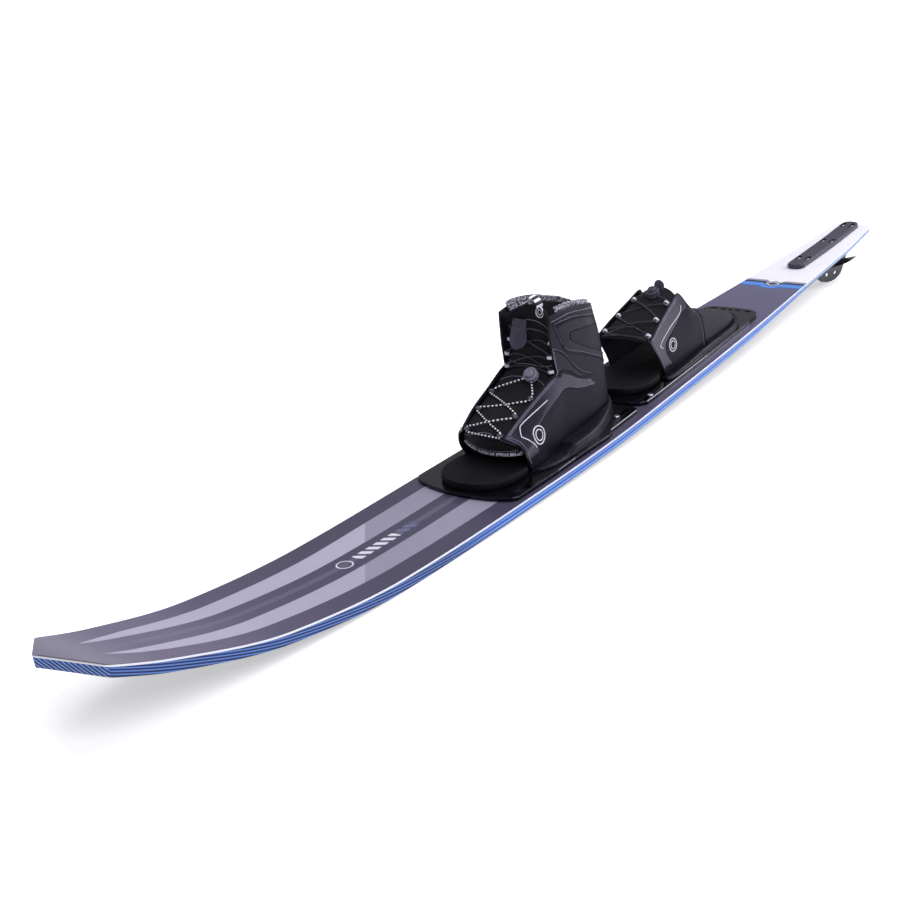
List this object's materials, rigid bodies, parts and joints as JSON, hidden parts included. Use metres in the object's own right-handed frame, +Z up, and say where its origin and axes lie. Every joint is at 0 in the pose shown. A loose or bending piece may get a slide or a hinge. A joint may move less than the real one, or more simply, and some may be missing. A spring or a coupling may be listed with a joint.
{
  "type": "slalom water ski",
  "caption": "Slalom water ski with a high laced front boot, a low laced rear binding, a fin block and a holed fin with a small wing.",
  "frame": {"origin": "middle of the ski's length and width at floor level", "axes": "+X towards the nose, +Y to the skier's left, +Z up; the ski stands deck up on its forebody and its fin"},
  "size_m": [1.7066, 0.1748, 0.2163],
  "materials": {
    "block_grey": "satin",
    "cord": "matte",
    "fin_metal": "satin",
    "footbed_foam": "matte",
    "frame_black": "satin",
    "lining": "matte",
    "lock_grey": "satin",
    "plate_black": "gloss",
    "screw_steel": "satin",
    "tongue_cloth": "matte",
    "topsheet": "gloss",
    "upper_shell": "satin",
    "webbing": "matte",
    "wing_black": "satin"
  },
  "bodies": {
    "ski": {"fin_block": "block_grey", "fin_screw_1": "screw_steel", "fin_screw_2": "screw_steel", "fin_screw_3": "screw_steel", "fin_screw_4": "screw_steel", "fin_screw_5": "screw_steel", "fin_screw_6": "screw_steel", "front_screw_far": "screw_steel", "front_screw_near": "screw_steel", "rear_screw_far": "screw_steel", "rear_screw_near": "screw_steel", "ski_blank": "topsheet"},
    "front_binding": {"front_footbed": "footbed_foam", "front_frame": "frame_black", "front_lace_high": "cord", "front_lace_low": "cord", "front_liner": "lining", "front_lock_body": "lock_grey", "front_loop_high_far_1": "webbing", "front_loop_high_far_2": "webbing", "front_loop_high_far_3": "webbing", "front_loop_high_near_1": "webbing", "front_loop_high_near_2": "webbing", "front_loop_high_near_3": "webbing", "front_loop_low_far_1": "webbing", "front_loop_low_far_2": "webbing", "front_loop_low_far_3": "webbing", "front_loop_low_near_1": "webbing", "front_loop_low_near_2": "webbing", "front_loop_low_near_3": "webbing", "front_plate": "plate_black", "front_pull_tab": "lock_grey", "front_toe_roll": "lining", "front_tongue": "tongue_cloth", "front_tongue_loop": "webbing", "front_upper": "upper_shell"},
    "rear_binding": {"rear_footbed": "footbed_foam", "rear_frame": "frame_black", "rear_heel": "upper_shell", "rear_lace": "cord", "rear_lock_body": "lock_grey", "rear_loop_far_1": "webbing", "rear_loop_far_2": "webbing", "rear_loop_far_3": "webbing", "rear_loop_near_1": "webbing", "rear_loop_near_2": "webbing", "rear_loop_near_3": "webbing", "rear_plate": "plate_black", "rear_tongue": "tongue_cloth", "rear_upper_far": "upper_shell", "rear_upper_near": "upper_shell"},
    "fin": {"fin_blade": "fin_metal"},
    "wing": {"fin_wing": "wing_black"},
    "front_plunger": {"front_lock_plunger": "lock_grey"},
    "rear_plunger": {"rear_lock_plunger": "lock_grey"}
  },
  "joints": [
    {"name": "front_binding_slide", "type": "slide", "parent": "ski", "child": "front_binding", "axis": [0.9994, 0, -0.0354], "range_m": [0, 0.012]},
    {"name": "rear_binding_slide", "type": "slide", "parent": "ski", "child": "rear_binding", "axis": [0.9985, 0, -0.0554], "range_m": [-0.012, 0]},
    {"name": "fin_slide", "type": "slide", "parent": "ski", "child": "fin", "axis": [0.9985, 0, -0.0544], "range_m": [-0.003, 0.003]},
    {"name": "wing_pitch", "type": "hinge", "parent": "fin", "child": "wing", "pos_m": [-0.76939, 0, 0.02758], "axis": [0, 1, 0], "range_deg": [-6, 6]},
    {"name": "front_plunger_press", "type": "slide", "parent": "front_binding", "child": "front_plunger", "axis": [-0.7241, -0.1402, -0.6753], "range_m": [0, 0.003], "stiffness_N_per_m": 300, "springref_m": -0.002},
    {"name": "rear_plunger_press", "type": "slide", "parent": "rear_binding", "child": "rear_plunger", "axis": [-0.3391, 0, -0.9408], "range_m": [0, 0.003], "stiffness_N_per_m": 300, "springref_m": -0.002}
  ]
}
